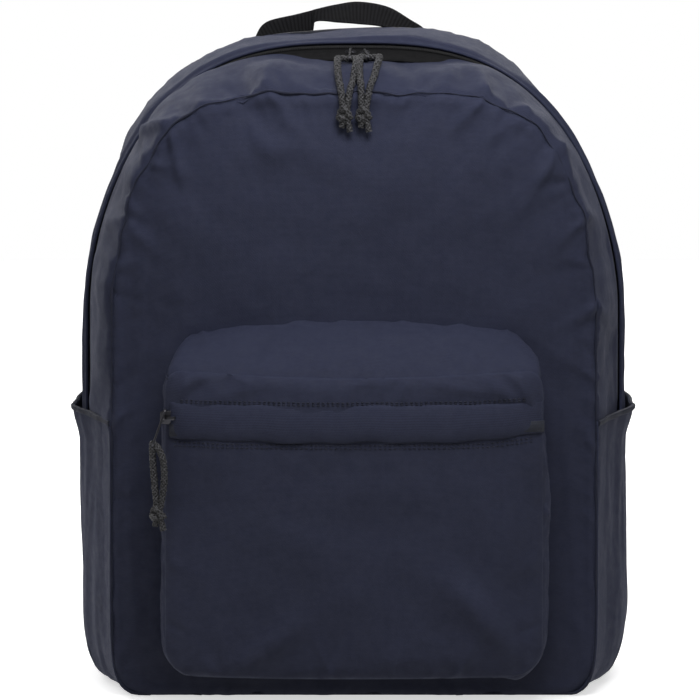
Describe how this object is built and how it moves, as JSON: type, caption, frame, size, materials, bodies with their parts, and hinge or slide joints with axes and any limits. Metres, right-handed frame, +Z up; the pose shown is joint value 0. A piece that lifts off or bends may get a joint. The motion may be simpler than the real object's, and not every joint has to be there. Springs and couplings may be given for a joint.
{
  "type": "backpack",
  "caption": "Fabric school daypack with an arched main zip, a front zip pocket, side pockets, a carry handle and padded shoulder straps.",
  "frame": {"origin": "on the floor, under the middle of the main zip", "axes": "+Z up, front pocket towards -Y, +X to the right of someone facing the front"},
  "size_m": [0.3434, 0.2371, 0.4135],
  "materials": {
    "navy_fabric": "matte",
    "lining_fabric": "matte",
    "foam": "matte",
    "black_tape": "matte",
    "braided_cord": "matte",
    "gunmetal": "satin",
    "black_plastic": "satin"
  },
  "bodies": {
    "bag": {"back_panel": "navy_fabric", "back_foam": "foam", "back_lining": "lining_fabric", "rear_gusset": "navy_fabric", "side_panel_left": "navy_fabric", "side_panel_right": "navy_fabric", "front_gusset_foot_left": "navy_fabric", "front_gusset_foot_right": "navy_fabric", "bottom_panel": "navy_fabric", "front_panel_lower": "navy_fabric", "side_pocket_left": "navy_fabric", "side_pocket_right": "navy_fabric", "side_pocket_hem_left": "black_tape", "side_pocket_hem_right": "black_tape", "main_zip_tape_rear": "black_tape", "main_zip_coil_rear": "black_plastic", "main_zip_end_left": "black_tape", "main_zip_end_right": "black_tape", "pocket_front": "navy_fabric", "pocket_band": "navy_fabric", "pocket_zip_flap": "navy_fabric", "pocket_gusset": "navy_fabric", "pocket_top_gusset": "navy_fabric", "pocket_zip_tape_lower": "black_tape", "pocket_zip_tape_upper": "black_tape", "pocket_zip_coil_lower": "black_plastic", "pocket_zip_coil_upper": "black_plastic", "strap_yoke": "navy_fabric", "strap_anchor_left": "navy_fabric", "strap_anchor_right": "navy_fabric"},
    "lid": {"front_gusset": "navy_fabric", "front_panel_upper": "navy_fabric", "main_zip_tape_front": "black_tape", "main_zip_coil_front": "black_plastic"},
    "handle": {"carry_handle": "black_tape"},
    "pocket_slider_body": {"pocket_slider": "gunmetal"},
    "pocket_pull": {"pocket_pull_tab": "gunmetal", "pocket_cord": "braided_cord"},
    "main_slider_left_body": {"main_slider_left": "gunmetal"},
    "main_tab_left_body": {"main_pull_tab_left": "gunmetal"},
    "main_cord_left_body": {"main_cord_left": "braided_cord"},
    "main_slider_right_body": {"main_slider_right": "gunmetal"},
    "main_tab_right_body": {"main_pull_tab_right": "gunmetal"},
    "main_cord_right_body": {"main_cord_right": "braided_cord"},
    "strap_left": {"strap_pad_left": "navy_fabric", "strap_loop_left": "black_tape"},
    "strap_lock_left": {"ladder_lock_left": "black_plastic"},
    "strap_webbing_left": {"lower_webbing_left": "black_tape"},
    "strap_right": {"strap_pad_right": "navy_fabric", "strap_loop_right": "black_tape"},
    "strap_lock_right": {"ladder_lock_right": "black_plastic"},
    "strap_webbing_right": {"lower_webbing_right": "black_tape"}
  },
  "joints": [
    {"name": "mouth_open", "type": "hinge", "parent": "bag", "child": "lid", "pos_m": [0, 0, 0.26002], "axis": [1, 0, 0], "range_deg": [0, 35]},
    {"name": "main_slider_left_travel", "type": "hinge", "parent": "lid", "child": "main_slider_left_body", "pos_m": [0, 0, 0.2325], "axis": [0, 1, 0], "range_deg": [-77, 0]},
    {"name": "main_tab_left_lift", "type": "hinge", "parent": "main_slider_left_body", "child": "main_tab_left_body", "pos_m": [-0.00353, 0, 0.40096], "axis": [1, 0, 0], "range_deg": [-95, 0]},
    {"name": "main_cord_left_hang", "type": "hinge", "parent": "main_tab_left_body", "child": "main_cord_left_body", "pos_m": [-0.00353, -0.013, 0.40096], "axis": [0, 1, 0], "range_deg": [0, 90], "deforming": ["main_cord_left"]},
    {"name": "main_slider_right_travel", "type": "hinge", "parent": "lid", "child": "main_slider_right_body", "pos_m": [0, 0, 0.2325], "axis": [0, 1, 0], "range_deg": [0, 77]},
    {"name": "main_tab_right_lift", "type": "hinge", "parent": "main_slider_right_body", "child": "main_tab_right_body", "pos_m": [0.01087, 0, 0.40065], "axis": [1, 0, 0], "range_deg": [-95, 0]},
    {"name": "main_cord_right_hang", "type": "hinge", "parent": "main_tab_right_body", "child": "main_cord_right_body", "pos_m": [0.01087, -0.013, 0.40065], "axis": [0, 1, 0], "range_deg": [-90, 0], "deforming": ["main_cord_right"]},
    {"name": "pocket_slider_travel", "type": "hinge", "parent": "bag", "child": "pocket_slider_body", "pos_m": [0, 0.463, 0.1745], "axis": [0, 0, 1], "range_deg": [0, 21]},
    {"name": "pocket_pull_swing", "type": "hinge", "parent": "pocket_slider_body", "child": "pocket_pull", "pos_m": [-0.10843, -0.11186, 0.1745], "axis": [0.1853, 0.9827, 0], "range_deg": [-35, 35]},
    {"name": "handle_flop", "type": "hinge", "parent": "bag", "child": "handle", "pos_m": [0, 0.0678, 0.389], "axis": [1, 0, 0], "range_deg": [-75, 30]},
    {"name": "strap_left_swing", "type": "hinge", "parent": "bag", "child": "strap_left", "pos_m": [-0.06, 0.073, 0.365], "axis": [1, 0, 0], "range_deg": [0, 8]},
    {"name": "strap_left_lock_tilt", "type": "hinge", "parent": "strap_left", "child": "strap_lock_left", "pos_m": [-0.06, 0.10223, 0.15704], "axis": [1, 0, 0], "range_deg": [-22, 0]},
    {"name": "strap_left_webbing_swing", "type": "hinge", "parent": "bag", "child": "strap_webbing_left", "pos_m": [-0.06, 0.073, 0.065], "axis": [1, 0, 0], "range_deg": [-14, 0]},
    {"name": "strap_right_swing", "type": "hinge", "parent": "bag", "child": "strap_right", "pos_m": [0.06, 0.073, 0.365], "axis": [1, 0, 0], "range_deg": [0, 8]},
    {"name": "strap_right_lock_tilt", "type": "hinge", "parent": "strap_right", "child": "strap_lock_right", "pos_m": [0.06, 0.10223, 0.15704], "axis": [1, 0, 0], "range_deg": [-22, 0]},
    {"name": "strap_right_webbing_swing", "type": "hinge", "parent": "bag", "child": "strap_webbing_right", "pos_m": [0.06, 0.073, 0.065], "axis": [1, 0, 0], "range_deg": [-14, 0]}
  ],
  "couplings": [
    {"joint": "main_slider_left_travel", "follows": "mouth_open", "ratio": -2.1143},
    {"joint": "main_cord_left_hang", "follows": "mouth_open", "ratio": 2.3257},
    {"joint": "main_slider_right_travel", "follows": "mouth_open", "ratio": 2.1143},
    {"joint": "main_cord_right_hang", "follows": "mouth_open", "ratio": -2.3257},
    {"joint": "strap_left_lock_tilt", "follows": "strap_left_swing", "ratio": -2.6147},
    {"joint": "strap_left_webbing_swing", "follows": "strap_left_swing", "ratio": -1.6147},
    {"joint": "strap_right_lock_tilt", "follows": "strap_right_swing", "ratio": -2.6147},
    {"joint": "strap_right_webbing_swing", "follows": "strap_right_swing", "ratio": -1.6147}
  ]
}
